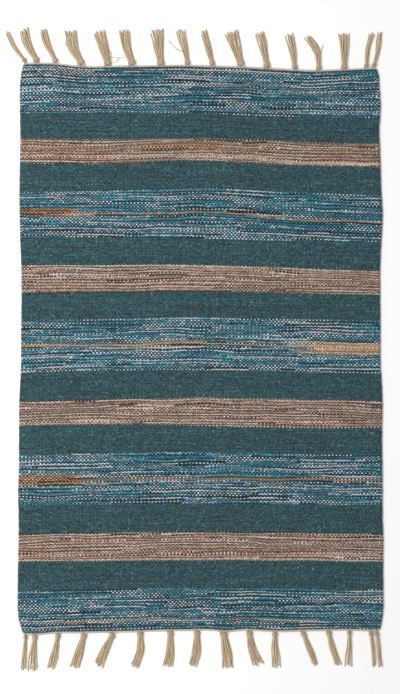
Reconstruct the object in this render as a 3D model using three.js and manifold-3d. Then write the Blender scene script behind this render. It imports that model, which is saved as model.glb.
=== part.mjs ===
// A hand-woven cotton kilim, lying flat and face up, with a tasselled warp fringe at both ends.
// Millimetres, +Z up. X runs across the rug, and +Y points along it to the far end.
// The origin is on the floor, in the middle of the box that holds rug and fringe.
import * as THREE from 'three';
import { mergeVertices } from 'three/addons/utils/BufferGeometryUtils.js';
import Module from 'manifold-3d';

const wasm = await Module();
wasm.setup();

// Driving sizes
const clothThickness = 4.5;
const clothRound = 1.4; // how much of the cloth's edge is taken off, above and below
const pieceGap = 0.3; // air between two neighbouring pieces
const headingDepth = 3.8; // from the cloth's end to the knots
const headingThickness = 3.6;
const headingRound = 0.8;
const headingSetback = 1.5; // the heading stops this short of the cloth's corners
const fringeLength = 58; // from a knot's root to the ends of its longest yarns
const knotLength = 5;
const knotHeight = 5.2;
const knotSides = 6;
const knotRootShare = 0.7; // a knot's root is this share of its width
const knotLift = 0.2; // the knot hangs in its yarns, just clear of the floor
const yarnWidth = 1.7;
const yarnHeight = 1.8;
const yarnTopShare = 0.6; // a yarn's top is this share of its width
const yarnSteps = 3;
const fewestYarns = 3; // in the lower layer of a tassel
const mostYarns = 6;
const widthPerYarn = 3; // a wider tassel has more yarns

// The cloth's four corners
const corners = {
  nearLeft: new THREE.Vector2(-295, -471),
  nearRight: new THREE.Vector2(297, -465.8),
  farLeft: new THREE.Vector2(-294, 470.4),
  farRight: new THREE.Vector2(291.7, 463),
};

// The selvedges between the corners: the x of the left and right edge at a distance y along the rug
const selvedges = [
  { y: -453, left: -300.3, right: 300 },
  { y: -433, left: -302.7, right: 302.4 },
  { y: -400, left: -303, right: 302.6 },
  { y: -350, left: -302.2, right: 302.2 },
  { y: -317, left: -301.6, right: 302.6 },
  { y: -276, left: -301.4, right: 301.3 },
  { y: -246, left: -302.3, right: 301.3 },
  { y: -201, left: -301.2, right: 301.1 },
  { y: -135, left: -300.6, right: 300.4 },
  { y: -92, left: -300.6, right: 301.1 },
  { y: -60, left: -299, right: 300 },
  { y: -32, left: -297.6, right: 298.1 },
  { y: 30, left: -297.3, right: 297.8 },
  { y: 87, left: -296.6, right: 297.3 },
  { y: 147, left: -297.4, right: 297.7 },
  { y: 180, left: -298.8, right: 299.5 },
  { y: 221, left: -299.8, right: 301.4 },
  { y: 263, left: -300, right: 299.2 },
  { y: 321, left: -299, right: 297.4 },
  { y: 362, left: -298.6, right: 295.8 },
  { y: 400, left: -299.4, right: 298 },
  { y: 435, left: -299.2, right: 296 },
  { y: 455, left: -297.6, right: 294.3 },
];

// The woven ends between the corners: the y of the near and far edge at a distance x across the rug
const wovenEnds = [
  { x: -272, near: -471.9, far: 470.8 },
  { x: -245, near: -469.4, far: 470.2 },
  { x: -205, near: -468.7, far: 466 },
  { x: -120, near: -467.2, far: 466 },
  { x: -70, near: -465.4, far: 466.6 },
  { x: -20, near: -464.6, far: 467.2 },
  { x: 15, near: -464.3, far: 466 },
  { x: 42, near: -466.6, far: 465.3 },
  { x: 70, near: -464.3, far: 464.4 },
  { x: 125, near: -466.6, far: 461.7 },
  { x: 190, near: -465, far: 458.7 },
  { x: 245, near: -464.5, far: 460.4 },
];

// The tassels of the far end, from left to right: the x of the knot, of the middle half way out and
// of the tips, and the tassel's width half way out and at the tips
const farTassels = [
  { knot: -291.5, bend: -310, tip: -321, bendWidth: 8.4, tipWidth: 9.8 },
  { knot: -272, bend: -286.5, tip: -294, bendWidth: 14, tipWidth: 16 },
  { knot: -240.5, bend: -253.5, tip: -261.5, bendWidth: 12, tipWidth: 12.5 },
  { knot: -198, bend: -211.5, tip: -215.5, bendWidth: 18, tipWidth: 21 },
  { knot: -154, bend: -161, tip: -168.5, bendWidth: 18, tipWidth: 20 },
  { knot: -113.5, bend: -123, tip: -127, bendWidth: 16.5, tipWidth: 20 },
  { knot: -66.5, bend: -69.5, tip: -73, bendWidth: 17.5, tipWidth: 22 },
  { knot: -22, bend: -27, tip: -34.5, bendWidth: 12.5, tipWidth: 17 },
  { knot: 19, bend: 12, tip: 4, bendWidth: 11, tipWidth: 12 },
  { knot: 66.5, bend: 58.5, tip: 50.5, bendWidth: 18, tipWidth: 23 },
  { knot: 109.5, bend: 104.5, tip: 97.5, bendWidth: 13.8, tipWidth: 17 },
  { knot: 155.5, bend: 152.5, tip: 146.5, bendWidth: 12.8, tipWidth: 15 },
  { knot: 195.5, bend: 193, tip: 175.5, bendWidth: 13, tipWidth: 11 },
  { knot: 237.5, bend: 238, tip: 237.5, bendWidth: 14.8, tipWidth: 18 },
  { knot: 274, bend: 276.5, tip: 284.5, bendWidth: 8.6, tipWidth: 9 },
  { knot: 286.5, bend: 294, tip: 297, bendWidth: 8.6, tipWidth: 9 },
];

// The tassels of the near end
const nearTassels = [
  { knot: -290.5, bend: -292, tip: -294.5, bendWidth: 8.3, tipWidth: 8.6 },
  { knot: -275, bend: -277.5, tip: -277.5, bendWidth: 13.4, tipWidth: 18 },
  { knot: -236.5, bend: -241.5, tip: -248.5, bendWidth: 11.6, tipWidth: 15 },
  { knot: -193.5, bend: -200.5, tip: -210, bendWidth: 14.5, tipWidth: 15.5 },
  { knot: -146, bend: -158.5, tip: -170, bendWidth: 13.5, tipWidth: 15 },
  { knot: -100.5, bend: -100, tip: -110, bendWidth: 13.8, tipWidth: 14 },
  { knot: -50.5, bend: -50.5, tip: -54.5, bendWidth: 14, tipWidth: 16.5 },
  { knot: -6.5, bend: -6.5, tip: -14, bendWidth: 15.5, tipWidth: 13.5 },
  { knot: 37.5, bend: 42.5, tip: 45, bendWidth: 17, tipWidth: 18 },
  { knot: 80, bend: 85.5, tip: 97, bendWidth: 14.5, tipWidth: 19 },
  { knot: 122.5, bend: 123.5, tip: 125, bendWidth: 13.3, tipWidth: 15 },
  { knot: 169.5, bend: 180.5, tip: 191.5, bendWidth: 10.8, tipWidth: 10 },
  { knot: 211.5, bend: 219, tip: 228.5, bendWidth: 11.5, tipWidth: 10 },
  { knot: 246, bend: 246, tip: 244.5, bendWidth: 9.6, tipWidth: 13.5 },
  { knot: 281.5, bend: 285.5, tip: 286.5, bendWidth: 6.6, tipWidth: 6.8 },
  { knot: 291.5, bend: 295.5, tip: 298, bendWidth: 6.8, tipWidth: 7.6 },
];

// How much shorter than the longest each yarn is cut, taken in turn
const unevenEnds = [2, 0, 4, 1, 5.5, 3, 0.5];

const materials = {
  weave: new THREE.MeshStandardMaterial({ color: 0x4c6770, roughness: 0.92, metalness: 0 }),
  heading: new THREE.MeshStandardMaterial({ color: 0xc9b8a0, roughness: 0.94, metalness: 0 }),
  fringe: new THREE.MeshStandardMaterial({ color: 0xbfa983, roughness: 0.95, metalness: 0 }),
};

// An outline's side: a smooth line through its points, with two steps from each to the next
function smoothSide(points) {
  return new THREE.SplineCurve(points).getPoints(2 * (points.length - 1));
}

const nearSide = smoothSide([
  corners.nearLeft,
  ...wovenEnds.map((row) => new THREE.Vector2(row.x, row.near)),
  corners.nearRight,
]);
const rightSide = smoothSide([
  corners.nearRight,
  ...selvedges.map((row) => new THREE.Vector2(row.right, row.y)),
  corners.farRight,
]);
const farSide = smoothSide([
  corners.farLeft,
  ...wovenEnds.map((row) => new THREE.Vector2(row.x, row.far)),
  corners.farRight,
]);
const leftSide = smoothSide([
  corners.nearLeft,
  ...selvedges.map((row) => new THREE.Vector2(row.left, row.y)),
  corners.farLeft,
]);

// The two ends of the rug: the cloth's edge there, and which way is outward
const nearEnd = { name: 'near', side: nearSide, outward: -1, tassels: nearTassels };
const farEnd = { name: 'far', side: farSide, outward: 1, tassels: farTassels };

// The y of a woven end at a distance x across the rug
function endAt(end, x) {
  const after = end.side.findIndex((point, i) => i > 0 && point.x >= x);
  const from = end.side[after - 1];
  const to = end.side[after];
  return THREE.MathUtils.mapLinear(x, from.x, to.x, from.y, to.y);
}

// Where a knot's root starts, so that all of it is a gap away from the heading, however far it leans
function clearOfHeading(end, x, halfWidth, lean) {
  const edges = [x - halfWidth, x, x + halfWidth].map((place) => end.outward * endAt(end, place));
  const cornerRise = knotRootShare * halfWidth * Math.abs(Math.sin(lean));
  return end.outward * (Math.max(...edges) + 2 * pieceGap + headingDepth + cornerRise);
}

// A flat piece of cloth with this outline, its edges taken off, lying on the floor
function flatPiece(outline, thickness, round) {
  const geometry = new THREE.ExtrudeGeometry(new THREE.Shape(outline), {
    depth: thickness - 2 * round,
    bevelThickness: round,
    bevelSize: round,
    bevelOffset: -round,
    bevelSegments: 1,
  });
  geometry.translate(0, 0, round);
  return geometry;
}

function clothGeometry() {
  const outline = [
    ...nearSide.slice(0, -1),
    ...rightSide.slice(0, -1),
    ...farSide.toReversed().slice(0, -1),
    ...leftSide.toReversed().slice(0, -1),
  ];
  return flatPiece(outline, clothThickness, clothRound);
}

// The heading follows the cloth's end, a gap away from it
function headingGeometry(end) {
  const first = end.side[0].x + headingSetback;
  const last = end.side.at(-1).x - headingSetback;
  const inner = [
    new THREE.Vector2(first, endAt(end, first)),
    ...end.side.filter((point) => point.x > first && point.x < last),
    new THREE.Vector2(last, endAt(end, last)),
  ];
  const moved = (distance) => inner.map((point) => new THREE.Vector2(point.x, point.y + end.outward * distance));
  const outline = [...moved(pieceGap), ...moved(pieceGap + headingDepth).reverse()];
  return flatPiece(outline, headingThickness, headingRound);
}

// A closed geometry as a solid that can be joined to others
function solid(geometry) {
  const bare = geometry.clone();
  bare.deleteAttribute('normal');
  bare.deleteAttribute('uv');
  const merged = mergeVertices(bare, 1e-4);
  return new wasm.Manifold(
    new wasm.Mesh({
      numProp: 3,
      vertProperties: new Float32Array(merged.attributes.position.array),
      triVerts: new Uint32Array(merged.index.array),
    }),
  );
}

function geometryOf(body) {
  const mesh = body.getMesh();
  const geometry = new THREE.BufferGeometry();
  geometry.setAttribute('position', new THREE.BufferAttribute(mesh.vertProperties, 3));
  geometry.setIndex(new THREE.BufferAttribute(mesh.triVerts, 1));
  geometry.computeVertexNormals();
  return geometry;
}

// A tassel's knot: a flattened barrel from its root, turned by its lean from the +Y axis. Its profile
// has shares of its half width, then of its length.
function knotGeometry(width, turn) {
  const profile = [
    new THREE.Vector2(0, 0),
    new THREE.Vector2(knotRootShare, 0),
    new THREE.Vector2(1, 0.3),
    new THREE.Vector2(1, 0.7),
    new THREE.Vector2(0.85, 1),
    new THREE.Vector2(0, 1),
  ];
  const geometry = new THREE.LatheGeometry(profile, knotSides, Math.PI / knotSides);
  const acrossFlats = Math.cos(Math.PI / knotSides);
  geometry.scale(width / 2 / acrossFlats, knotLength, knotHeight / 2 / acrossFlats);
  return geometry.rotateZ(turn).translate(0, 0, knotLift + knotHeight / 2);
}

// One yarn of the fringe: four-sided, with its flat side down, level along its whole way
function yarnGeometry(path) {
  const half = { up: yarnHeight / 2, across: yarnWidth / 2 };
  const section = new THREE.Shape([
    new THREE.Vector2(half.up, -half.across),
    new THREE.Vector2(half.up, half.across),
    new THREE.Vector2(-half.up, half.across * yarnTopShare),
    new THREE.Vector2(-half.up, -half.across * yarnTopShare),
  ]);
  return new THREE.ExtrudeGeometry(section, { steps: yarnSteps, bevelEnabled: false, extrudePath: path });
}

// A tassel: yarns in two layers, the upper ones over the gaps of the lower, with their roots in a knot
function tasselGeometry(end, row, number) {
  const lowerCount = THREE.MathUtils.clamp(Math.round(row.bendWidth / widthPerYarn), fewestYarns, mostYarns);
  const rootPitch = yarnWidth + pieceGap;
  const knotWidth = lowerCount * rootPitch;
  const reach = Math.sqrt(fringeLength ** 2 - (row.tip - row.knot) ** 2);
  const lean = Math.atan2(row.knot - row.bend, reach / 2);
  const root = new THREE.Vector3(row.knot, clearOfHeading(end, row.knot, knotWidth / 2, lean), 0);
  const bend = new THREE.Vector3(row.bend, root.y + (end.outward * reach) / 2, 0);
  const tip = new THREE.Vector3(row.tip, root.y + end.outward * reach, 0);
  const way = bend.clone().sub(root).normalize();
  const middle = new THREE.CatmullRomCurve3([root.clone().addScaledVector(way, knotLength / 2), bend, tip]);
  const pitchFor = (width) => Math.max(rootPitch, (width - yarnWidth) / (lowerCount - 1));
  // The yarns' pitch at shares of the way from the knot to the tips
  const stations = [
    { along: 0, pitch: rootPitch },
    { along: 0.1, pitch: rootPitch },
    { along: 0.5, pitch: pitchFor(row.bendWidth) },
    { along: 1, pitch: pitchFor(row.tipWidth) },
  ];
  const yarn = (place, layer, shorter) => {
    const points = stations.map(({ along, pitch }) => {
      const tangent = middle.getTangent(along);
      const sideways = new THREE.Vector3(-tangent.y, tangent.x, 0).multiplyScalar(place * pitch);
      const point = middle.getPoint(along).add(sideways);
      const cut = along === 1 ? tangent.multiplyScalar(-shorter) : new THREE.Vector3();
      return point.add(cut).setZ(yarnHeight / 2 + layer * (yarnHeight + pieceGap));
    });
    return yarnGeometry(new THREE.CatmullRomCurve3(points));
  };
  const knot = knotGeometry(knotWidth, Math.atan2(-way.x, way.y)).translate(root.x, root.y, 0);
  let body = solid(knot);
  let laid = number;
  for (const layer of [0, 1]) {
    const count = lowerCount - layer;
    for (let i = 0; i < count; i += 1) {
      const shorter = unevenEnds[laid % unevenEnds.length];
      body = body.add(solid(yarn(i - (count - 1) / 2, layer, shorter)));
      laid += 1;
    }
  }
  return geometryOf(body);
}

const rug = new THREE.Group();

function addPiece(name, geometry, material) {
  const mesh = new THREE.Mesh(geometry, material);
  mesh.name = name;
  rug.add(mesh);
}

addPiece('woven_ground', clothGeometry(), materials.weave);
for (const end of [nearEnd, farEnd]) {
  addPiece(`heading_${end.name}`, headingGeometry(end), materials.heading);
  end.tassels.forEach((row, i) => {
    const number = String(i + 1).padStart(2, '0');
    addPiece(`tassel_${end.name}_${number}`, tasselGeometry(end, row, i), materials.fringe);
  });
}

// The rug is moved so that the origin is in the middle of its box, on the floor
const centre = new THREE.Box3().setFromObject(rug, true).getCenter(new THREE.Vector3());
rug.position.set(-centre.x, -centre.y, 0);

export default rug;
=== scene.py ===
# A hand-woven kilim, lying flat and face up, with a tasselled warp fringe at both ends.
# The tables hold millimetres in the rug's own plan: x across it, y along it to the far end.
import math
from collections import namedtuple

import bpy
import numpy as np
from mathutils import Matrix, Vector


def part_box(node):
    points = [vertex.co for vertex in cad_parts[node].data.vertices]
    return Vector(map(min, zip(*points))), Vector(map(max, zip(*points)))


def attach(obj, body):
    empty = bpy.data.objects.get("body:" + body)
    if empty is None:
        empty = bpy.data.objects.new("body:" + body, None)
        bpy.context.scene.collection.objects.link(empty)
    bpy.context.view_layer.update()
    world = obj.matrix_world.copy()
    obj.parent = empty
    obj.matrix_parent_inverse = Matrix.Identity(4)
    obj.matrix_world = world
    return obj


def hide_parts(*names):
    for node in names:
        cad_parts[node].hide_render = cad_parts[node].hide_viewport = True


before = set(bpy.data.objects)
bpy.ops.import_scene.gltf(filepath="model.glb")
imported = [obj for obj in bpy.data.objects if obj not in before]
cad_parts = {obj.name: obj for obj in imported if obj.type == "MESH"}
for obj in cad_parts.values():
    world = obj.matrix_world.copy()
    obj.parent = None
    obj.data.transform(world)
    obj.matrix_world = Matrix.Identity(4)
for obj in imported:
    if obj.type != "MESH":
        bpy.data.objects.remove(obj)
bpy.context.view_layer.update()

MM = 0.001


def rows(names, *values):
    """A short table with named columns."""
    row = namedtuple("Row", names)
    return [row(*value) for value in values]


# The weave's counts and sizes: the cloth is lower between two warps than over them
WIDTH = 600
WARPS = 197
WARP_PITCH = WIDTH / WARPS
PICK_PITCH = 0.9
CLOTH_TOP = 4.5
RIB_DROP = 0.8

# The cloth's mesh: two columns of points to a warp, rows of them about this far apart, a rim that stands
# out half way down, a little unevenly, and few points underneath
COLUMNS = 2 * WARPS + 1
ROW_PITCH = 4.15
RIM = 1.0
RIM_TOP = 3.3
RIM_MIDDLE = 2.1
RIM_RIB_DROP = 0.25
RIM_WEAVE = 0.3
SWELL = 0.3
UNDER_INSET = 0.2
UNDER_LIFT = 0.1
UNDER_STEP = 10

# Soft unevenness: how far it goes each way, the distances across and along in which it changes, its seed
UNEVENNESS = {
    row.name: row
    for row in rows(
        "name amount over_x over_y seed",
        ("bands", 2.0, 60, 15, 21),
        ("picks", 0.85, 24, 9, 22),
        ("warps", 0.3, 12, 60, 23),
        ("swells", 0.35, 90, 120, 31),
        ("floats", 0.1, 3, 5, 32),
        ("heading", 0.2, 14, 50, 43),
    )
}

# The cloth's corners
NEAR_LEFT = (-295, -471)
NEAR_RIGHT = (297, -465.8)
FAR_LEFT = (-294, 470.4)
FAR_RIGHT = (291.7, 463)

SELVEDGES = rows(
    "y left right",
    (-453, -300.3, 300),
    (-433, -302.7, 302.4),
    (-400, -303, 302.6),
    (-350, -302.2, 302.2),
    (-317, -301.6, 302.6),
    (-276, -301.4, 301.3),
    (-246, -302.3, 301.3),
    (-201, -301.2, 301.1),
    (-135, -300.6, 300.4),
    (-92, -300.6, 301.1),
    (-60, -299, 300),
    (-32, -297.6, 298.1),
    (30, -297.3, 297.8),
    (87, -296.6, 297.3),
    (147, -297.4, 297.7),
    (180, -298.8, 299.5),
    (221, -299.8, 301.4),
    (263, -300, 299.2),
    (321, -299, 297.4),
    (362, -298.6, 295.8),
    (400, -299.4, 298),
    (435, -299.2, 296),
    (455, -297.6, 294.3),
)

WOVEN_ENDS = rows(
    "x near far",
    (-272, -471.9, 470.8),
    (-245, -469.4, 470.2),
    (-205, -468.7, 466),
    (-120, -467.2, 466),
    (-70, -465.4, 466.6),
    (-20, -464.6, 467.2),
    (15, -464.3, 466),
    (42, -466.6, 465.3),
    (70, -464.3, 464.4),
    (125, -466.6, 461.7),
    (190, -465, 458.7),
    (245, -464.5, 460.4),
)

# Where two stripes meet, from the far end down: the line's y at five places across the rug
STRIPE_STATIONS = (-300, -150, 0, 150, 300)
STRIPE_LINES = (
    (390, 390, 390, 385.5, 382),
    (349, 347.5, 349, 344, 339),
    (307, 306.8, 311.8, 304.3, 300.2),
    (260.5, 263, 267, 259.5, 253.5),
    (185, 184, 182, 178.5, 173.5),
    (138.5, 138.5, 138.5, 133.5, 128.5),
    (91.8, 93.8, 95.7, 92, 89.2),
    (47, 49, 52, 48.5, 45.5),
    (-39, -35.5, -35, -37.5, -40.5),
    (-87, -83.5, -81.5, -83.5, -86.5),
    (-127.2, -125.7, -127.2, -130.2, -130.7),
    (-176.5, -173, -171.5, -174.5, -175),
    (-259, -257.3, -255.5, -257, -258.3),
    (-307.5, -304, -302.5, -305.5, -306),
    (-354, -351, -350, -351, -352),
    (-402, -398.5, -397, -397.5, -399),
)
STRIPE_ORDER = ("blue", "teal", "brown", "teal")

# Short runs of another yarn inside a stripe: how far the run lies below the stripe's far edge, or above
# its near edge where that is negative, how deep it is, and where it starts and stops across the rug
RUNS = rows(
    "stripe down deep start stop yarn",
    (2, 12, 2.4, -340, 60, "orange"),
    (2, 16.5, 1.9, 0, 340, "orange"),
    (2, 29, 2.4, -340, 130, "sand"),
    (2, 32, 2.4, 100, 340, "sand"),
    (4, 28.5, 15.4, -340, -203, "tan"),
    (4, 31.5, 1.9, -203, -185, "orange"),
    (4, 37.5, 2.4, -203, 165, "orange"),
    (4, 39.9, 1.5, -150, 100, "dark"),
    (4, 42.5, 1.9, -203, -172, "orange"),
    (4, 43.5, 1.9, 150, 340, "orange"),
    (8, 40.5, 3.9, -340, 15, "orange"),
    (8, 42, 1.9, 15, 170, "orange"),
    (8, 48, 2.9, -182, 15, "cream"),
    (8, 62.5, 1.9, -340, -190, "cream"),
    (8, 35, 19.5, 202, 340, "sand"),
    (8, 35, 2.4, 160, 202, "sand"),
    (8, 40, 4.8, 150, 202, "sand"),
    (8, 49.5, 4.8, 165, 202, "sand"),
    (12, 33.5, 17.5, -340, -192, "tan"),
    (12, 35, 1.9, -192, -155, "orange"),
    (12, 41, 2.4, -192, 340, "rust"),
    (12, 48.5, 1.9, -192, -150, "orange"),
    (14, -12.5, 2.4, -340, 340, "sand"),
    (16, -17.5, 1.9, -200, 220, "sand"),
)

# Bands of a stripe that are darker or lighter than the rest of it
SHADES = rows(
    "stripe down deep light",
    (2, 0, 11, 0.82),
    (2, 11, 15, 0.9),
    (2, 26, 20, 1.02),
)

# The fringe: the x of each knot, of the middle half way out and of the tips, and the width at both
TASSEL_COLUMNS = "knot bend tip bend_width tip_width"
FAR_TASSELS = rows(
    TASSEL_COLUMNS,
    (-291.5, -310, -321, 8.4, 9.8),
    (-272, -286.5, -294, 14, 16),
    (-240.5, -253.5, -261.5, 12, 12.5),
    (-198, -211.5, -215.5, 18, 21),
    (-154, -161, -168.5, 18, 20),
    (-113.5, -123, -127, 16.5, 20),
    (-66.5, -69.5, -73, 17.5, 22),
    (-22, -27, -34.5, 12.5, 17),
    (19, 12, 4, 11, 12),
    (66.5, 58.5, 50.5, 18, 23),
    (109.5, 104.5, 97.5, 13.8, 17),
    (155.5, 152.5, 146.5, 12.8, 15),
    (195.5, 193, 175.5, 13, 11),
    (237.5, 238, 237.5, 14.8, 18),
    (274, 276.5, 284.5, 8.6, 9),
    (286.5, 294, 297, 8.6, 9),
)
NEAR_TASSELS = rows(
    TASSEL_COLUMNS,
    (-290.5, -292, -294.5, 8.3, 8.6),
    (-275, -277.5, -277.5, 13.4, 18),
    (-236.5, -241.5, -248.5, 11.6, 15),
    (-193.5, -200.5, -210, 14.5, 15.5),
    (-146, -158.5, -170, 13.5, 15),
    (-100.5, -100, -110, 13.8, 14),
    (-50.5, -50.5, -54.5, 14, 16.5),
    (-6.5, -6.5, -14, 15.5, 13.5),
    (37.5, 42.5, 45, 17, 18),
    (80, 85.5, 97, 14.5, 19),
    (122.5, 123.5, 125, 13.3, 15),
    (169.5, 180.5, 191.5, 10.8, 10),
    (211.5, 219, 228.5, 11.5, 10),
    (246, 246, 244.5, 9.6, 13.5),
    (281.5, 285.5, 286.5, 6.6, 6.8),
    (291.5, 295.5, 298, 6.8, 7.6),
)

# A plied yarn: its plies' radius and distance from its middle are shares of its thickness, its turn is
# the length in which they go round once, and they open over the last few millimetres
PLIES = 2
PLY_RADIUS = 0.35
PLY_AWAY = 0.17
OPEN_END = 9
ROOT_TAPER = 0.6
TIP_TAPER = 0.45

# The heading: its twined yarn, and the warp ends that cross it, which lean towards their knot
HEADING_GAP = 0.3
HEADING_DEPTH = 3.8
HEADING_SETBACK = 1.5
HEADING_TURN = 6.1
HEADING_STEP = 0.62
TWINE = 2.9
CORNER_GAP = 3
KNOT_FAN = 2.2
CROSSING_LEAN = 0.6
CROSSING_RADIUS = 0.62
CROSSING_STEP = 1.3

# The fringe: its length from the knots' roots, its yarns' sizes, and how much shorter than that they end
FRINGE_LENGTH = 58
YARN_THICKNESS = 1.8
YARN_TURN = 7
YARN_STEP = 1.15
YARN_FRAY = 0.9
LOOSE_THICKNESS = 0.7 * YARN_THICKNESS
LOOSE_FRAY = 1.5
UNEVEN_ENDS = (2, 0, 4, 1, 5.5, 3, 0.5)

# A tassel's layers: the lowest has the most yarns, and each one above it lies higher and has one fewer
LAYERS = 3
FEWEST_LOWER_YARNS = 3
MOST_LOWER_YARNS = 6
WIDTH_TO_A_YARN = 3
ROOT_PITCH = 2.0
LAYER_RISE = 0.95
LAYER_SINK = 0.4

# A tassel's knot, which takes up this first share of the yarns' way, and the yarn that is wound round it
KNOT_LENGTH = 5
KNOT_HEIGHT = 5.2
KNOT_LIFT = 0.2
KNOT_SHARE = 0.12
KNOT_ROOT_SHARE = 0.7
WINDINGS = 3
WINDING_THICKNESS = 1.5
WINDING_START = 0.9
WINDING_PITCH = 1.5
WINDING_POINTS = 26

# The windings of a knot are numbered from here on, so that painted shade can darken them
WOUND = 1000

# Single yarns that strayed: each comes down from the top of its tassel, from a place across the rug and
# out from the cloth's end to another such place, and bows aside by so much on its way
STRAY_TOP = 3.4
STRAY_END = 0.7
STRAYS = rows(
    "end tassel x out to_x to_out bow",
    ("far", 2, -276, 9, -291, 36, -2.5),
    ("far", 4, -203, 12, -226.5, 38, -2),
    ("far", 5, -151, 6, -156, 42, -4.5),
    ("far", 5, -152, 9, -158, 41, -2.5),
    ("far", 6, -117, 17.5, -160, 18, 1.2),
    ("far", 6, -136, 16, -150, 6.5, 3),
    ("far", 8, -30, 24, -53.5, 43.5, 2.5),
    ("far", 13, 193, 20, 203, 44, -1.5),
    ("near", 3, -237, 8, -236, 46, 1.5),
    ("near", 9, 38, 12, 52.5, 40, -3),
    ("near", 10, 82, 10, 87, 47, 1.5),
)


def flowing(at, stations, values):
    """A smooth line through the values at the stations."""
    stations = np.asarray(stations, float)
    values = np.asarray(values, float)
    slopes = np.gradient(values, stations)
    here = np.clip(np.searchsorted(stations, at) - 1, 0, len(stations) - 2)
    span = stations[here + 1] - stations[here]
    t = np.clip((at - stations[here]) / span, 0, 1)
    start = (1 + 2 * t) * (1 - t) ** 2 * values[here] + t * (1 - t) ** 2 * span * slopes[here]
    end = t**2 * (3 - 2 * t) * values[here + 1] + t**2 * (t - 1) * span * slopes[here + 1]
    return start + end


def drift(x, y, pitch_x, pitch_y, seed):
    """Soft irregularity from -1 to 1 that changes over these distances."""
    chances = np.random.default_rng(seed)
    u = (x - x.min()) / pitch_x
    v = (y - y.min()) / pitch_y
    lattice = chances.uniform(-1, 1, (int(u.max()) + 2, int(v.max()) + 2))
    i = u.astype(int)
    j = v.astype(int)
    a = u - i
    b = v - j
    a = a * a * (3 - 2 * a)
    b = b * b * (3 - 2 * b)
    low = lattice[i, j] * (1 - a) + lattice[i + 1, j] * a
    high = lattice[i, j + 1] * (1 - a) + lattice[i + 1, j + 1] * a
    return low * (1 - b) + high * b


def uneven(name, x, y):
    row = UNEVENNESS[name]
    return row.amount * drift(x, y, row.over_x, row.over_y, row.seed)


def left_edge(y):
    stations = [NEAR_LEFT[1], *(row.y for row in SELVEDGES), FAR_LEFT[1]]
    return flowing(y, stations, [NEAR_LEFT[0], *(row.left for row in SELVEDGES), FAR_LEFT[0]])


def right_edge(y):
    stations = [NEAR_RIGHT[1], *(row.y for row in SELVEDGES), FAR_RIGHT[1]]
    return flowing(y, stations, [NEAR_RIGHT[0], *(row.right for row in SELVEDGES), FAR_RIGHT[0]])


def near_edge(x):
    stations = [NEAR_LEFT[0], *(row.x for row in WOVEN_ENDS), NEAR_RIGHT[0]]
    return flowing(x, stations, [NEAR_LEFT[1], *(row.near for row in WOVEN_ENDS), NEAR_RIGHT[1]])


def far_edge(x):
    stations = [FAR_LEFT[0], *(row.x for row in WOVEN_ENDS), FAR_RIGHT[0]]
    return flowing(x, stations, [FAR_LEFT[1], *(row.far for row in WOVEN_ENDS), FAR_RIGHT[1]])


End = namedtuple("End", "name edge outward tassels first last heading_seed tassel_seed")
NEAR_END = End("near", near_edge, -1, NEAR_TASSELS, NEAR_LEFT[0], NEAR_RIGHT[0], 42, 1000)
FAR_END = End("far", far_edge, 1, FAR_TASSELS, FAR_LEFT[0], FAR_RIGHT[0], 41, 1050)


def edge_at(end, x):
    """The y of a woven end at one place across the rug."""
    return float(end.edge(np.array(x)))


# The rug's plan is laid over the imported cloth's own box
plan_y = np.linspace(FAR_RIGHT[1], NEAR_LEFT[1], 2000)
plan_x = np.linspace(NEAR_LEFT[0], NEAR_RIGHT[0], 2000)
plan_low = np.array([left_edge(plan_y).min(), near_edge(plan_x).min()])
plan_high = np.array([right_edge(plan_y).max(), far_edge(plan_x).max()])
cloth_low, cloth_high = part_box("woven_ground")
cloth_middle = (np.array(cloth_low[:2]) + np.array(cloth_high[:2])) / 2
PLAN_SHIFT = cloth_middle - (plan_low + plan_high) / 2 * MM


def placed(points):
    """Points of the plan, in millimetres, as metres in the frame."""
    moved = np.asarray(points, float) * MM
    moved[:, :2] += PLAN_SHIFT
    return moved


class Signal:
    """A number of a material that changes over the surface. Python's operators add its Math nodes."""

    def __init__(self, finish, socket):
        self.finish = finish
        self.socket = socket

    def maths(self, operation, *others):
        sockets = dict(enumerate((self, *others)))
        node = self.finish.add("ShaderNodeMath", {"operation": operation}, sockets)
        return Signal(self.finish, node.outputs[0])

    def turned(self, operation, first):
        node = self.finish.add("ShaderNodeMath", {"operation": operation}, {0: first, 1: self})
        return Signal(self.finish, node.outputs[0])

    def __add__(self, other):
        return self.maths("ADD", other)

    def __radd__(self, other):
        return self.turned("ADD", other)

    def __sub__(self, other):
        return self.maths("SUBTRACT", other)

    def __rsub__(self, other):
        return self.turned("SUBTRACT", other)

    def __mul__(self, other):
        return self.maths("MULTIPLY", other)

    def __rmul__(self, other):
        return self.turned("MULTIPLY", other)

    def __truediv__(self, other):
        return self.maths("DIVIDE", other)

    def __rtruediv__(self, other):
        return self.turned("DIVIDE", other)

    def __pow__(self, other):
        return self.maths("POWER", other)

    def __gt__(self, other):
        return self.maths("GREATER_THAN", other)

    def __lt__(self, other):
        return self.maths("LESS_THAN", other)

    def __abs__(self):
        return self.maths("ABSOLUTE")

    def whole(self):
        return self.maths("FLOOR")

    def fraction(self):
        return self.maths("FRACT")

    def sine(self):
        return self.maths("SINE")

    def most(self, other):
        return self.maths("MAXIMUM", other)


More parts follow.
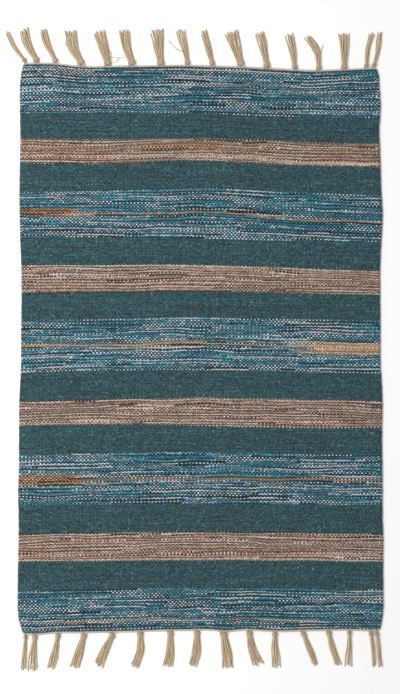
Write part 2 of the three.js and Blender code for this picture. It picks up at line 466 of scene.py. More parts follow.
class Finish:
    """A material, built from its nodes."""

    def __init__(self, name, roughness, sheen):
        self.material = bpy.data.materials.new(name)
        self.material.use_nodes = True
        self.tree = self.material.node_tree
        self.shader = self.tree.nodes["Principled BSDF"]
        values = {
            "Roughness": roughness,
            "Specular IOR Level": 0.25,
            "Sheen Weight": sheen,
            "Sheen Roughness": 0.6,
        }
        for socket, value in values.items():
            self.shader.inputs[socket].default_value = value

    def add(self, kind, settings=None, sockets=None):
        """Any node, from its type, its settings and the values or links of its sockets."""
        node = self.tree.nodes.new(kind)
        for name, value in (settings or {}).items():
            if name == "stops":
                self.fill(node.color_ramp.elements, value)
            elif name == "interpolation":
                node.color_ramp.interpolation = value
            else:
                setattr(node, name, value)
        for place, value in (sockets or {}).items():
            self.feed(node.inputs[place], value)
        return node

    def fill(self, elements, stops):
        while len(elements) < len(stops):
            elements.new(1)
        for element, (position, colour) in zip(elements, stops):
            element.position = position
            element.color = (*colour, 1)

    def feed(self, socket, value):
        if isinstance(value, Signal):
            self.tree.links.new(value.socket, socket)
        elif isinstance(value, bpy.types.NodeSocket):
            self.tree.links.new(value, socket)
        else:
            socket.default_value = value

    def pair(self, map_name):
        """The two numbers of a surface's map."""
        chart = self.add("ShaderNodeUVMap", {"uv_map": map_name})
        parts = self.add("ShaderNodeSeparateXYZ", {}, {0: chart.outputs["UV"]})
        return Signal(self, parts.outputs["X"]), Signal(self, parts.outputs["Y"])

    def vector(self, x=0.0, y=0.0, z=0.0):
        return self.add("ShaderNodeCombineXYZ", {}, {"X": x, "Y": y, "Z": z}).outputs[0]

    def chance(self, x=0.0, y=0.0, z=0.0):
        """A random number from 0 to 1, the same wherever these three are. One of them names the draw."""
        sockets = {"Vector": self.vector(x, y, z)}
        node = self.add("ShaderNodeTexWhiteNoise", {"noise_dimensions": "3D"}, sockets)
        return Signal(self, node.outputs["Value"])

    def cloud(self, vector, scale, detail):
        """A soft random number around a half."""
        sockets = {"Vector": vector, "Scale": scale, "Detail": detail}
        node = self.add("ShaderNodeTexNoise", {"noise_dimensions": "3D"}, sockets)
        return Signal(self, node.outputs[0])

    def palette(self, pick, yarns):
        """The colour that a number from 0 to 1 picks, each yarn's as often as its share says."""
        total = sum(yarn.share for yarn in yarns)
        stops = []
        start = 0.0
        for yarn in yarns:
            stops.append((start / total, srgb(yarn.colour)))
            start += yarn.share
        settings = {"interpolation": "CONSTANT", "stops": stops}
        return self.add("ShaderNodeValToRGB", settings, {"Fac": pick}).outputs["Color"]

    def mixed(self, share, first, second):
        """Two colours, by a share of the second from 0 to 1."""
        node = self.add("ShaderNodeMix", {"data_type": "RGBA"})
        for socket in node.inputs:
            if socket.identifier == "Factor_Float":
                self.feed(socket, share)
            elif socket.identifier == "A_Color":
                self.feed(socket, first)
            elif socket.identifier == "B_Color":
                self.feed(socket, second)
        return next(socket for socket in node.outputs if socket.identifier == "Result_Color")

    def shaded(self, colour, light):
        """A colour times a number."""
        grey = self.vector(light, light, light)
        node = self.add("ShaderNodeVectorMath", {"operation": "MULTIPLY"}, {0: colour, 1: grey})
        return node.outputs[0]

    def wear(self, colour, height, depth, roughness=None):
        """The surface takes this colour, and a relief of this height that is depth millimetres deep."""
        self.feed(self.shader.inputs["Base Color"], colour)
        sockets = {"Height": height, "Strength": 1.0, "Distance": depth * MM}
        bump = self.add("ShaderNodeBump", {}, sockets)
        self.feed(self.shader.inputs["Normal"], bump.outputs["Normal"])
        if roughness is not None:
            self.feed(self.shader.inputs["Roughness"], roughness)


def linear(part):
    """One part of a colour as the eye reads it, 0 to 255, as the number that light adds up in."""
    part /= 255
    return part / 12.92 if part <= 0.04045 else ((part + 0.055) / 1.055) ** 2.4


def srgb(colour):
    return tuple(linear(part) for part in colour)


# Each palette runs from its darkest yarn to its lightest
YARN_COLUMNS = "share colour"
BLUE_YARNS = rows(
    YARN_COLUMNS,
    (8, (3, 7, 12)),
    (3, (18, 20, 24)),
    (3, (8, 48, 70)),
    (4, (8, 80, 98)),
    (5, (0, 104, 134)),
    (6, (0, 138, 162)),
    (3, (112, 126, 132)),
    (4, (86, 158, 178)),
    (4, (158, 188, 192)),
    (5, (226, 220, 214)),
)
BROWN_YARNS = rows(
    YARN_COLUMNS,
    (3, (46, 34, 36)),
    (3, (70, 56, 58)),
    (3, (114, 82, 66)),
    (2, (112, 96, 94)),
    (2, (154, 100, 70)),
    (3, (152, 138, 132)),
    (4, (184, 149, 126)),
    (5, (208, 178, 156)),
    (4, (232, 215, 200)),
)
TEAL_YARNS = rows(
    YARN_COLUMNS,
    (3, (22, 54, 60)),
    (4, (34, 74, 81)),
    (4, (44, 88, 95)),
    (4, (56, 100, 106)),
    (2, (82, 120, 122)),
)
TAN_YARNS = rows(
    YARN_COLUMNS,
    (4, (36, 28, 24)),
    (3, (92, 66, 48)),
    (2, (120, 110, 84)),
    (3, (170, 122, 84)),
    (3, (200, 156, 114)),
    (1, (220, 190, 152)),
)
SAND_YARNS = rows(
    YARN_COLUMNS,
    (2, (150, 96, 58)),
    (3, (184, 142, 106)),
    (4, (208, 176, 144)),
    (4, (228, 206, 180)),
)
ORANGE_YARNS = rows(YARN_COLUMNS, (1, (156, 104, 66)), (4, (200, 144, 98)), (2, (216, 176, 136)))
RUST_YARNS = rows(YARN_COLUMNS, (1, (136, 90, 58)), (3, (182, 128, 86)))
CREAM_YARNS = rows(YARN_COLUMNS, (2, (190, 182, 172)), (3, (230, 220, 208)))
DARK_YARNS = rows(YARN_COLUMNS, (3, (18, 18, 24)), (1, (44, 34, 32)))
SPECK_YARNS = rows(YARN_COLUMNS, (1, (34, 52, 66)), (1, (30, 108, 102)), (3, (112, 142, 142)))
OTHER_YARNS = {
    "tan": TAN_YARNS,
    "sand": SAND_YARNS,
    "orange": ORANGE_YARNS,
    "rust": RUST_YARNS,
    "cream": CREAM_YARNS,
    "dark": DARK_YARNS,
}

# The mottled stripes: how far the dye steps through the palette from a pair of picks to the next, and
# how rarely two picks of a kind lie side by side
MOTTLES = rows(
    "kind yarns pair_step rarely",
    ("blue", BLUE_YARNS, 0.34, 0.5),
    ("brown", BROWN_YARNS, 0.39, 0.43),
)

# The same step for single picks, how much chance adds to a step and to a single float, how far the
# rhythm slips from place to place, and for how many warps, from least to most, a yarn keeps its dye
SINGLE_STEP = 0.67
DYE_CHANCE = 0.16
FLECK = 0.24
SLIP = 1.4
PAIR_STRETCH = (50, 190)
PICK_STRETCH = (30, 110)
STRETCH_OFFSET = 9
SPECKS_START = 0.996
RAGGED_WARPS = 9

# How bright the cloth is where a signal is 0, and how much brighter where it is 1. The floats' rounding
# and their slanted strands darken the colour as painted shade at each float's edges and in the grooves
# between its strands; the other signals are uneven dye, fibre, flecks and soil
SHADING = rows(
    "signal least more",
    ("rounded", 0.63, 0.48),
    ("strands", 0.9, 0.16),
    ("fibre", 0.7, 0.6),
    ("fleck", 0.88, 0.24),
    ("rib", 0.905, 0.12),
    ("soil", 0.9, 0.2),
    ("patch", 0.92, 0.16),
)

# What lies on a float's round relief, as a share of it
RELIEF = {"strands": 0.12, "fibre": 0.2, "fleck": 0.15}
RELIEF_DEPTH = 0.9

# The plied yarns' tones, the depth of their fibres, and the painted shade that darkens them in a knot's
# winding and within so many millimetres of their roots
FIBRE_DEPTH = 0.12
WOUND_SHADE = 0.16
ROOT_SHADE = 0.3
ROOT_SHADOW = 8
HEADING_TONES = ((184, 160, 140), (212, 192, 174), (230, 214, 200))
FRINGE_TONES = ((193, 168, 133), (205, 183, 149), (215, 195, 163), (224, 207, 178))


def stripe_counts(pitch):
    """How many steps of this pitch each stripe holds, from the far end down."""
    stations = np.array(STRIPE_STATIONS, float)
    lines = [far_edge(stations), *STRIPE_LINES, near_edge(stations)]
    depths = [float(np.mean(np.subtract(upper, lower))) for upper, lower in zip(lines, lines[1:])]
    return [round(depth / pitch) for depth in depths]


def counted_from_near(counts):
    """Where each stripe starts and ends, counted from the near end, with the far end itself first."""
    return np.sum(counts) - np.concatenate([[0], np.cumsum(counts)])


STRIPE_PICKS = counted_from_near(stripe_counts(PICK_PITCH)).tolist()


def picks_of(row):
    """The first pick above a row's place in its stripe, and its last pick."""
    edge = STRIPE_PICKS[row.stripe if row.down >= 0 else row.stripe + 1]
    top = round(edge - row.down / PICK_PITCH)
    return top, round(top - row.deep / PICK_PITCH)


def among(pick, top, bottom):
    """1 on the picks from bottom up to top, and 0 elsewhere."""
    return (pick < top - 0.5) * (pick > bottom - 0.5)


def warps_from_left(x):
    """How many warps lie left of a place across the rug."""
    return (x + WIDTH / 2) / WIDTH * (WARPS - 1)


def between(chance, least, most):
    """Turns a number from 0 to 1 into one from least to most."""
    return chance * (most - least) + least


def cloth_finish():
    """Weft-faced cotton: each float covers one warp, is two picks tall and lies a pick off the next."""
    finish = Finish("woven cotton", 0.9, 0.15)
    u, v = finish.pair("Weave")
    warp = (u + 0.5).whole()
    odd = warp - (warp / 2).whole() * 2
    pick = ((v - odd) / 2 + 0.5).whole() * 2 + odd
    across = u - warp
    along = v - pick

    # A yarn keeps its dye for a stretch, lies beside unlike yarns, and at times beside its own like
    pair = (pick / 2).whole()
    pair_stretch = warp / between(finish.chance(pair, 1.0), *PAIR_STRETCH)
    pair_cell = (pair_stretch + finish.chance(pair, 2.0) * STRETCH_OFFSET).whole()
    own_stretch = warp / between(finish.chance(pick, 4.0), *PICK_STRETCH)
    own_cell = (own_stretch + finish.chance(pick, 5.0) * STRETCH_OFFSET).whole()
    together = finish.cloud(finish.vector(warp * 0.02, pair * 0.3, 5.0), scale=1.0, detail=1.0)
    slip = finish.cloud(finish.vector(u * 0.006, v * 0.025), scale=1.0, detail=0.0) * SLIP
    own_chance = finish.chance(pick, own_cell, 6.0) * DYE_CHANCE
    own_dye = (pick * SINGLE_STEP + own_chance + slip).fraction()
    fleck = finish.chance(warp, pick, 5.0)
    dyes = {}
    for row in MOTTLES:
        pair_chance = finish.chance(pair, pair_cell, 3.0) * DYE_CHANCE
        pair_dye = (pair * row.pair_step + pair_chance + slip).fraction()
        dye = own_dye + (together > row.rarely) * (pair_dye - own_dye)
        dyes[row.kind] = abs(dye * 2 - 1) + (fleck - 0.5) * FLECK

    colour = finish.palette(fleck * 0.5 + dyes["blue"] * 0.5, TEAL_YARNS)
    speckled = finish.chance(warp, pick, 9.0) > SPECKS_START
    colour = finish.mixed(speckled, colour, finish.palette(fleck, SPECK_YARNS))
    for row in MOTTLES:
        there = 0
        for stripe, (top, bottom) in enumerate(zip(STRIPE_PICKS, STRIPE_PICKS[1:])):
            if STRIPE_ORDER[stripe % len(STRIPE_ORDER)] == row.kind:
                there = there + among(pick, top, bottom)
        colour = finish.mixed(there, colour, finish.palette(dyes[row.kind], row.yarns))
    ragged = warp + finish.chance(pair, 11.0) * RAGGED_WARPS
    others = {name: finish.palette(dyes["blue"], yarns) for name, yarns in OTHER_YARNS.items()}
    for run in RUNS:
        inside = among(pick, *picks_of(run))
        inside = inside * (ragged > warps_from_left(run.start)) * (ragged < warps_from_left(run.stop))
        colour = finish.mixed(inside, colour, others[run.yarn])

    # Each float is rounded and its strands lie at a slant, in relief and as painted shade at the float's
    # edges and between its strands, and the dye is a little uneven
    rounded = (1 - abs(across * 2) ** 3) * (1 - abs(along) ** 3)
    strands = ((across * 5 + along * 3.2) * math.pi).sine() * 0.5 + 0.5
    place = finish.vector(u, v * 0.32)
    stretch = (pick / 36 + finish.chance(warp, 13.0) * 7).whole()
    fibre = finish.cloud(finish.vector(u, v * 0.65), scale=4.5, detail=3.0)
    signals = {
        "rounded": rounded,
        "strands": strands,
        "fibre": fibre,
        "fleck": fleck,
        "rib": finish.chance(warp, stretch, 12.0) + odd * 0.6,
        "soil": finish.cloud(place, scale=0.035, detail=3.0),
        "patch": finish.cloud(place, scale=0.22, detail=3.0),
    }
    # The colour is darkened by painted shade at the floats' edges and between their strands, and varied
    # by uneven dye, fibre, flecks and soil
    light = 1
    for row in SHADING:
        light = light * (signals[row.signal] * row.more + row.least)
    for shade in SHADES:
        light = light * (1 + among(pick, *picks_of(shade)) * (shade.light - 1))
    height = rounded
    for name, share in RELIEF.items():
        height = height + signals[name] * share
    finish.wear(finish.shaded(colour, light), height, RELIEF_DEPTH, fibre * 0.12 + 0.84)
    return finish.material


def yarn_finish(name, tones):
    """Plied cotton. Its map holds the way along the yarn, in millimetres, and the yarn's own number."""
    finish = Finish(name, 0.88, 0.1)
    along, number = finish.pair("Yarn")
    number = number.whole()
    # Where painted shade falls: on a knot's windings, and on the yarns near their roots
    wound = number > WOUND - 1
    near_root = (1 - along / ROOT_SHADOW).most(0)
    place = finish.add("ShaderNodeTexCoord").outputs["Object"]
    fibre = finish.cloud(place, scale=900.0, detail=3.0)
    slub = finish.cloud(finish.vector(along * 0.14, number * 3.7), scale=1.0, detail=2.0)
    stops = [(at / (len(tones) - 1), srgb(tone)) for at, tone in enumerate(tones)]
    share = finish.chance(number, 2.0) * 0.75 + slub * 0.5 - 0.12
    tone = finish.add("ShaderNodeValToRGB", {"stops": stops}, {"Fac": share})
    # Painted shade darkens the windings and the roots; the fibres vary the tone
    light = (fibre * 0.3 + 0.85) * (1 - wound * WOUND_SHADE) * (1 - near_root * ROOT_SHADE)
    finish.wear(finish.shaded(tone.outputs["Color"], light), fibre, FIBRE_DEPTH, fibre * 0.1 + 0.84)
    return finish.material


def floor_finish():
    finish = Finish("pale floor", 0.8, 0.0)
    place = finish.add("ShaderNodeTexCoord").outputs["Object"]
    grain = finish.cloud(place, scale=40.0, detail=3.0)
    plain = (0.94, 0.94, 0.94)
    finish.wear(finish.shaded(plain, grain * 0.01 + 0.995), grain, 0.02)
    return finish.material


def new_object(name, points, faces, material, smooth=True):
    mesh = bpy.data.meshes.new(name)
    mesh.from_pydata(np.asarray(points, float).tolist(), [], faces)
    mesh.materials.append(material)
    mesh.polygons.foreach_set("use_smooth", np.full(len(mesh.polygons), smooth))
    thing = bpy.data.objects.new(name, mesh)
    bpy.context.scene.collection.objects.link(thing)
    return thing


def chart(thing, name, places):
    """A map that gives each vertex of the piece two numbers."""
    mesh = thing.data
    layer = mesh.uv_layers.new(name=name)
    corners = np.zeros(len(mesh.loops), int)
    mesh.loops.foreach_get("vertex_index", corners)
    layer.uv.foreach_set("vector", np.asarray(places, np.float32)[corners].ravel())


def cloth_places(column, row, line_rows):
    """The plan place of each point of the cloth's top, and its pick, counted from the near end."""
    across = (2 * column / (COLUMNS - 1) - 1) * (WIDTH / 2 - RIM)
    lines = [far_edge(across) - RIM]
    lines += [flowing(across, STRIPE_STATIONS, line) for line in STRIPE_LINES]
    lines += [near_edge(across) + RIM]
    y = np.zeros(column.shape)
    v = np.zeros(column.shape)
    depth = np.zeros(column.shape)
    for stripe, (top, bottom) in enumerate(zip(line_rows, line_rows[1:])):
        share = (row - bottom) / (top - bottom)
        inside = (share >= 0) & (share <= 1)
        y[inside] = (lines[stripe + 1] + (lines[stripe] - lines[stripe + 1]) * share)[inside]
        picks = STRIPE_PICKS[stripe + 1] + (STRIPE_PICKS[stripe] - STRIPE_PICKS[stripe + 1]) * share
        v[inside] = picks[inside]
        depth[inside] = (4 * share * (1 - share))[inside]

    # The unevenness dies away towards the ends, the stripes' own lines and the selvedges
    calm = np.clip(np.minimum(row, line_rows[0] - row) / 3, 0, 1) * np.clip(0.3 + 1.1 * depth, 0, 1)
    y += calm * (uneven("bands", across, y) + uneven("picks", across, y))
    left = left_edge(y) + RIM
    right = right_edge(y) - RIM
    x = left + (right - left) * column / (COLUMNS - 1)
    inward = np.minimum(column, COLUMNS - 1 - column)
    x += uneven("warps", across, y) * np.clip(inward / 8, 0, 1)
    return x, y, v


def border_places(last_row):
    """The grid's places round its border, the other way from the clock, and the way outward at each."""
    ring = [(i, 0) for i in range(COLUMNS - 1)]
    ring += [(COLUMNS - 1, j) for j in range(last_row)]
    ring += [(i, last_row) for i in range(COLUMNS - 1, 0, -1)]
    ring += [(0, j) for j in range(last_row, 0, -1)]
    ring = np.array(ring)
    sideways = (ring[:, 0] == COLUMNS - 1) * 1.0 - (ring[:, 0] == 0)
    endways = (ring[:, 1] == last_row) * 1.0 - (ring[:, 1] == 0)
    outward = np.stack([sideways, endways], -1)
    outward /= np.linalg.norm(outward, axis=1)[:, None]
    return ring, outward


def underside(last_row, ring, under_ring):
    """The places of the underside's few points within the rim, and its faces, which look down."""
    columns = [*range(0, COLUMNS - 1, UNDER_STEP), COLUMNS - 1]
    lines = [*range(0, last_row, UNDER_STEP), last_row]
    inner = np.array([(i, j) for i in columns[1:-1] for j in lines[1:-1]])
    known = {tuple(place): int(at) for place, at in zip(ring.tolist(), under_ring)}
    first = int(under_ring[-1]) + 1
    known.update({tuple(place): first + at for at, place in enumerate(inner.tolist())})
    faces = []
    for left, right in zip(columns, columns[1:]):
        for near, far in zip(lines, lines[1:]):
            face = []
            face += [(left, j) for j in range(near, far) if j == near or left == 0]
            face += [(i, far) for i in range(left, right) if i == left or far == last_row]
            face += [(right, j) for j in range(far, near, -1) if j == far or right == COLUMNS - 1]
            face += [(i, near) for i in range(right, left, -1) if i == right or near == 0]
            faces.append([known[place] for place in face])
    return inner, faces


def make_cloth():
    """The cloth: a rib over each warp, a rounded rim all round, and a plain underside on the floor."""
    line_rows = counted_from_near(stripe_counts(ROW_PITCH))
    last_row = int(line_rows[0])
    column, row = np.meshgrid(np.arange(COLUMNS), np.arange(last_row + 1), indexing="ij")
    x, y, v = cloth_places(column, row, line_rows)
    u = column / 2 - 0.5
    rib = column % 2 == 1
    z = CLOTH_TOP - RIB_DROP * ~rib + uneven("swells", x, y) + uneven("floats", x, y)
    border = (column == 0) | (column == COLUMNS - 1) | (row == 0) | (row == last_row)
    z[border] = RIM_TOP - RIM_RIB_DROP * ~rib[border]
    number = np.arange(x.size).reshape(x.shape)
    quads = [number[:-1, :-1], number[1:, :-1], number[1:, 1:], number[:-1, 1:]]
    faces = np.stack([corner.ravel() for corner in quads], -1).tolist()

    # The rim goes out from the border to its middle, and back in to the underside
    ring, outward = border_places(last_row)
    top_ring = number[ring[:, 0], ring[:, 1]]
    base = np.stack([grid.ravel()[top_ring] for grid in (x, y, z)], -1)
    swell = np.random.default_rng(33).uniform(-SWELL, SWELL, len(ring))
    middle = base.copy()
    middle[:, :2] += outward * (RIM + swell)[:, None]
    middle[:, 2] = RIM_MIDDLE
    under = base.copy()
    under[:, :2] -= outward * (UNDER_INSET + swell / 4)[:, None]
    under[:, 2] = UNDER_LIFT + swell / 4
    middle_ring = x.size + np.arange(len(ring))
    under_ring = middle_ring + len(ring)
    for upper, lower in ((top_ring, middle_ring), (middle_ring, under_ring)):
        faces += np.stack([upper, lower, np.roll(lower, -1), np.roll(upper, -1)], -1).tolist()

    inner, under_faces = underside(last_row, ring, under_ring)
    faces += under_faces
    inner_number = number[inner[:, 0], inner[:, 1]]
    inner_x = x.ravel()[inner_number]
    inner_y = y.ravel()[inner_number]
    floor_points = np.stack([inner_x, inner_y, np.zeros(len(inner))], -1)

    plan = np.concatenate([np.stack([x, y, z], -1).reshape(-1, 3), middle, under, floor_points])
    weave = np.stack([u.ravel(), v.ravel()], -1)
    middle_weave = weave[top_ring] + outward * RIM_WEAVE
    weave = np.concatenate([weave, middle_weave, weave[top_ring], weave[inner_number]])
    cloth = new_object("kilim_cloth", placed(plan), faces, cloth_finish())
    chart(cloth, "Weave", weave)
    low = plan[:, :2].min(0)
    span = np.ptp(plan[:, :2], axis=0)
    chart(cloth, "OFBake", (plan[:, :2] - low) / span)
    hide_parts("woven_ground")
    return cloth


def lengths_along(path):
    """How far along a path each of its points lies."""
    steps = np.linalg.norm(np.diff(path, axis=0), axis=1)
    return np.concatenate([[0], np.cumsum(steps)])


def directions(path):
    """At each point of a path, the level way to its side, and the way up from it."""
    ahead = np.gradient(path, axis=0)
    ahead /= np.linalg.norm(ahead, axis=1)[:, None]
    side = np.cross(ahead, (0, 0, 1))
    side /= np.maximum(np.linalg.norm(side, axis=1)[:, None], 1e-6)
    return side, np.cross(side, ahead)


def resampled(points, step):
    """A smooth way through the points, with a point at about every step."""
    points = np.asarray(points, float)
    chord = lengths_along(points)
    at = np.linspace(0, chord[-1], max(3, int(chord[-1] / step) + 1))
    return np.stack([flowing(at, chord, points[:, axis]) for axis in range(3)], -1)


class Yarns:
    """Yarns that are joined into one piece, each with a number of its own."""

    def __init__(self, seed):
        self.chances = np.random.default_rng(seed)
        self.points = []
        self.faces = []
        self.map = []
        self.size = 0
        self.count = 0

    def tube(self, path, radii, number, sides=5):
        """A closed tube with these radii along its path."""
        steps = len(path)
        side, up = directions(path)
        angles = np.arange(sides) / sides * 2 * math.pi
        level = np.cos(angles)[None, :, None] * side[:, None]
        upward = np.sin(angles)[None, :, None] * up[:, None]
        points = path[:, None] + (level + upward) * np.asarray(radii)[:, None, None]
        self.points.append(points.reshape(-1, 3))
        places = np.stack([lengths_along(path), np.full(steps, number + 0.5)], -1)
        self.map.append(np.repeat(places, sides, 0))
        at = self.size + np.arange(steps * sides).reshape(steps, sides)
        after = np.roll(at, -1, 1)
        quads = np.stack([at[:-1], after[:-1], after[1:], at[1:]], -1)
        self.faces += quads.reshape(-1, 4).tolist()
        self.faces.append(at[0][::-1].tolist())
        self.faces.append(at[-1].tolist())
        self.size += steps * sides

    def plied(self, path, thickness, turn, fray=0.0, sides=5):
        """A yarn of plies twisted round a path, that opens at its end as far as fray says."""
        length = lengths_along(path)
        side, up = directions(path)
        start = self.chances.uniform(0, 2 * math.pi)
        opened = np.clip(1 - (length[-1] - length) / OPEN_END, 0, 1) ** 2 * fray
        away = thickness * PLY_AWAY * (1 + opened)
        radii = np.full(len(path), thickness * PLY_RADIUS)
        radii[0] *= ROOT_TAPER
        radii[-1] *= TIP_TAPER
        for ply in range(PLIES):
            angle = start + 2 * math.pi * (length / turn + ply / PLIES)
            level = (np.cos(angle) * away)[:, None] * side
            upward = (np.sin(angle) * away)[:, None] * up
            centre = path + level + upward
            centre[:, 2] = np.maximum(centre[:, 2], thickness * PLY_RADIUS)
            self.tube(centre, radii, self.count, sides)
        self.count += 1

    def made(self, name, material):
        thing = new_object(name, placed(np.concatenate(self.points)), self.faces, material)
        chart(thing, "Yarn", np.concatenate(self.map))
        return thing


# How many yarns lie lowest, half the knot's width, and the middles of the root, the bend and the tips
Tassel = namedtuple("Tassel", "lower half root bend tip")


def tassel_plan(end, row):
    """A tassel's own sizes and places, out from the cloth's end as far as its leaning knot needs."""
    lower = math.floor(row.bend_width / WIDTH_TO_A_YARN + 0.5)
    lower = min(max(lower, FEWEST_LOWER_YARNS), MOST_LOWER_YARNS)
    half = lower * ROOT_PITCH / 2
    edge = max(end.outward * edge_at(end, x) for x in (row.knot - half, row.knot, row.knot + half))
    reach = math.sqrt(FRINGE_LENGTH**2 - (row.tip - row.knot) ** 2)
    lean = math.atan2(row.bend - row.knot, reach / 2)
    rise = KNOT_ROOT_SHARE * half * abs(math.sin(lean))
    root = np.array([row.knot, end.outward * (edge + 2 * HEADING_GAP + HEADING_DEPTH + rise), 0])
    bend = np.array([row.bend, root[1] + end.outward * reach / 2, 0])
    tip = np.array([row.tip, root[1] + end.outward * reach, 0])
    return Tassel(lower, half, root, bend, tip)


def make_heading(end, material):
    """The cream yarn twined along the last pick, and the warp ends that cross it to the knots."""
    yarns = Yarns(end.heading_seed)
    x = np.arange(end.first + HEADING_SETBACK, end.last - HEADING_SETBACK, HEADING_STEP)
    y = end.edge(x) + end.outward * (HEADING_GAP + TWINE / 2)
    y += uneven("heading", x, y)
    path = np.stack([x, y, np.full(len(x), TWINE / 2)], -1)
    yarns.plied(path, TWINE, HEADING_TURN, sides=7)
    knots = [row.knot for row in end.tassels]
    halfway = [(left + right) / 2 for left, right in zip(knots, knots[1:])]
    starts = [end.first + CORNER_GAP, *halfway]
    stops = [*halfway, end.last - CORNER_GAP]
    for row, start, stop in zip(end.tassels, starts, stops):
        tassel = tassel_plan(end, row)
        root_x, root_y = tassel.root[:2]
        warps = max(3, round((stop - start) / WARP_PITCH))
        for warp_x in np.linspace(start, stop, warps, endpoint=False):
            warp_x += yarns.chances.uniform(0.5, 2.5)
            if abs(warp_x - root_x) > tassel.half + KNOT_FAN:
                continue

            # From within the cloth, over the twined yarn and into the knot
            aim = root_x + (warp_x - root_x) * CROSSING_LEAN
            leave = edge_at(end, warp_x)
            rise = TWINE + yarns.chances.uniform(-0.3, 0.5)
            points = [
                (warp_x, leave - end.outward * 0.6, 2.4),
                (warp_x + (aim - warp_x) * 0.15, leave + end.outward * 0.8, rise),
                (warp_x + (aim - warp_x) * 0.65, leave + (root_y - leave) * 0.5, rise),
                (aim, root_y + end.outward * 1.2, KNOT_HEIGHT / 2),
            ]
            path = resampled(points, CROSSING_STEP)
            yarns.tube(path, np.full(len(path), CROSSING_RADIUS), yarns.count, sides=6)
            yarns.count += 1
    heading = yarns.made(f"twined_heading_{end.name}", material)
    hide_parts(f"heading_{end.name}")
    return heading


def lay_yarns(yarns, row, tassel, way, laid):
    """The tassel's yarns, layer by layer: they spread and wander on their way to the tips."""
    start = tassel.root - way * 2
    middle = resampled([start, tassel.root + way * KNOT_LENGTH / 2, tassel.bend, tassel.tip], YARN_STEP)
    ahead = np.gradient(middle, axis=0)
    ahead /= np.linalg.norm(ahead, axis=1)[:, None]
    sideways = np.stack([-ahead[:, 1], ahead[:, 0]], -1)
    share = np.linspace(0, 1, len(middle))
    bend_pitch = max(ROOT_PITCH, (row.bend_width - YARN_THICKNESS) / (tassel.lower - 1))
    tip_pitch = max(ROOT_PITCH, (row.tip_width - YARN_THICKNESS) / (tassel.lower - 1))
    pitches = [ROOT_PITCH * 0.8, ROOT_PITCH * 0.9, bend_pitch, tip_pitch]
    pitch = np.interp(share, [0, KNOT_SHARE, 0.55, 1], pitches)
    for layer in range(LAYERS):
        count = tassel.lower - layer
        loose = layer == LAYERS - 1
        thickness = LOOSE_THICKNESS if loose else YARN_THICKNESS
        fray = LOOSE_FRAY if loose else YARN_FRAY
        for i in range(count):
            place = i - (count - 1) / 2
            swing = yarns.chances.uniform(-1, 1, 3) * (1 + layer / 2)
            wander = np.interp(share, [0, KNOT_SHARE, 0.4, 0.7, 1], [0, 0, *(swing * (0.6, 1.0, 1.5))])
            path = middle.copy()
            path[:, :2] += sideways * (place * pitch + wander)[:, None]
            path[:, 2] = YARN_THICKNESS * (0.5 + layer * LAYER_RISE)
            path[:, 2] += np.interp(share, [0, KNOT_SHARE, 0.3, 1], [0.5, 0.5, 0.1, -LAYER_SINK * layer])
            shorter = round(UNEVEN_ENDS[laid % len(UNEVEN_ENDS)] / YARN_STEP)
            yarns.plied(path[: max(4, len(path) - shorter)], thickness, YARN_TURN, fray)
            laid += 1


def lay_stray(yarns, end, stray):
    start_y = edge_at(end, stray.x) + end.outward * stray.out
    stop_y = edge_at(end, stray.to_x) + end.outward * stray.to_out
    start = np.array([stray.x, start_y, STRAY_TOP])
    stop = np.array([stray.to_x, stop_y, STRAY_END])
    along = stop - start
    across = np.array([-along[1], along[0], 0]) / np.linalg.norm(along)
    points = [start]
    for at, bow in ((0.25, 0.8), (0.5, 1.0), (0.75, 0.3)):
        points.append(start + along * at + across * stray.bow * bow - (0, 0, 1.4 * at))
    path = resampled([*points, stop], YARN_STEP)
    yarns.plied(path, LOOSE_THICKNESS, YARN_TURN, LOOSE_FRAY)


def wind_knot(yarns, tassel, way):
    """The turns of yarn round a tassel's knot, each at a small slant of its own."""
    aside = np.array([-way[1], way[0], 0])
    angle = np.linspace(0, 2 * math.pi, WINDING_POINTS)
    for turn in range(WINDINGS):
        slant = yarns.chances.uniform(-0.6, 0.6)
        reach = WINDING_START + WINDING_PITCH * turn + slant * np.cos(angle)
        swing = (tassel.half * 0.9 + 0.1) * np.cos(angle)
        loop = tassel.root + way * reach[:, None] + aside * swing[:, None]
        loop[:, 2] = KNOT_LIFT + KNOT_HEIGHT / 2 + (KNOT_HEIGHT / 2 - 0.8) * np.sin(angle)
        yarns.count = WOUND + turn
        yarns.plied(loop, WINDING_THICKNESS, YARN_TURN)


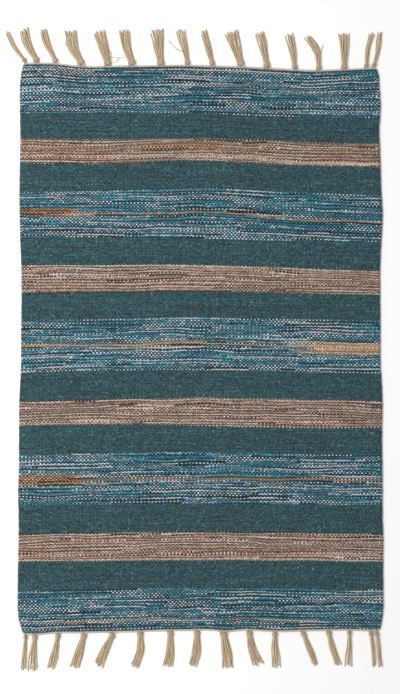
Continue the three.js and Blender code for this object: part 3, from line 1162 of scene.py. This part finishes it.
def make_tassel(end, row, number, material):
    """A tassel: three layers of yarns, gathered in a wound knot, and the yarns that strayed."""
    tassel = tassel_plan(end, row)
    way = (tassel.bend - tassel.root) / np.linalg.norm(tassel.bend - tassel.root)
    yarns = Yarns(end.tassel_seed + number)
    lay_yarns(yarns, row, tassel, way, number)
    for stray in STRAYS:
        if (stray.end, stray.tassel) == (end.name, number + 1):
            lay_stray(yarns, end, stray)
    wind_knot(yarns, tassel, way)
    name = f"tassel_{end.name}_{number + 1:02d}"
    piece = yarns.made(f"knotted_{name}", material)
    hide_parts(name)
    return piece


cloth = make_cloth()
heading_cotton = yarn_finish("heading cotton", HEADING_TONES)
fringe_cotton = yarn_finish("fringe cotton", FRINGE_TONES)
trims = []
for end in (NEAR_END, FAR_END):
    trims.append(make_heading(end, heading_cotton))
    trims += [make_tassel(end, row, number, fringe_cotton) for number, row in enumerate(end.tassels)]
for piece in (cloth, *trims):
    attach(piece, "root")


def make_floor():
    """A pale floor, a hair below the rug so that the two don't meet in one plane."""
    size = 6
    points = [(-size, -size, 0), (size, -size, 0), (size, size, 0), (-size, size, 0)]
    floor = new_object("floor", points, [(0, 1, 2, 3)], floor_finish(), smooth=False)
    floor.location.z = -0.2 * MM


def make_camera():
    """From straight above, through a long lens, with the rug as large as in the photograph."""
    view_length = 1.1503
    lens = 180
    sensor = 36
    data = bpy.data.cameras.new("camera")
    data.lens = lens
    data.sensor_width = sensor
    camera = bpy.data.objects.new("camera", data)
    middle_x = PLAN_SHIFT[0] - 0.8 * MM
    middle_y = PLAN_SHIFT[1] + 2.5 * MM
    camera.location = (middle_x, middle_y, view_length * lens / sensor)
    bpy.context.scene.collection.objects.link(camera)
    bpy.context.scene.camera = camera


def make_light(name, place, size, power):
    """A round soft light that looks at the rug's middle."""
    data = bpy.data.lights.new(name, "AREA")
    data.shape = "DISK"
    data.size = size
    data.energy = power
    light = bpy.data.objects.new(name, data)
    light.location = place
    light.rotation_euler = (-Vector(place)).to_track_quat("-Z", "Y").to_euler()
    bpy.context.scene.collection.objects.link(light)


def make_world():
    world = bpy.data.worlds.new("studio")
    world.use_nodes = True
    backdrop = world.node_tree.nodes["Background"]
    backdrop.inputs["Color"].default_value = (1, 1, 1, 1)
    backdrop.inputs["Strength"].default_value = 0.54
    bpy.context.scene.world = world


make_floor()
make_camera()
make_light("key", place=(-2.0, 0.3, 2.3), size=1.1, power=77)
make_world()
bpy.context.scene.view_settings.view_transform = "Standard"
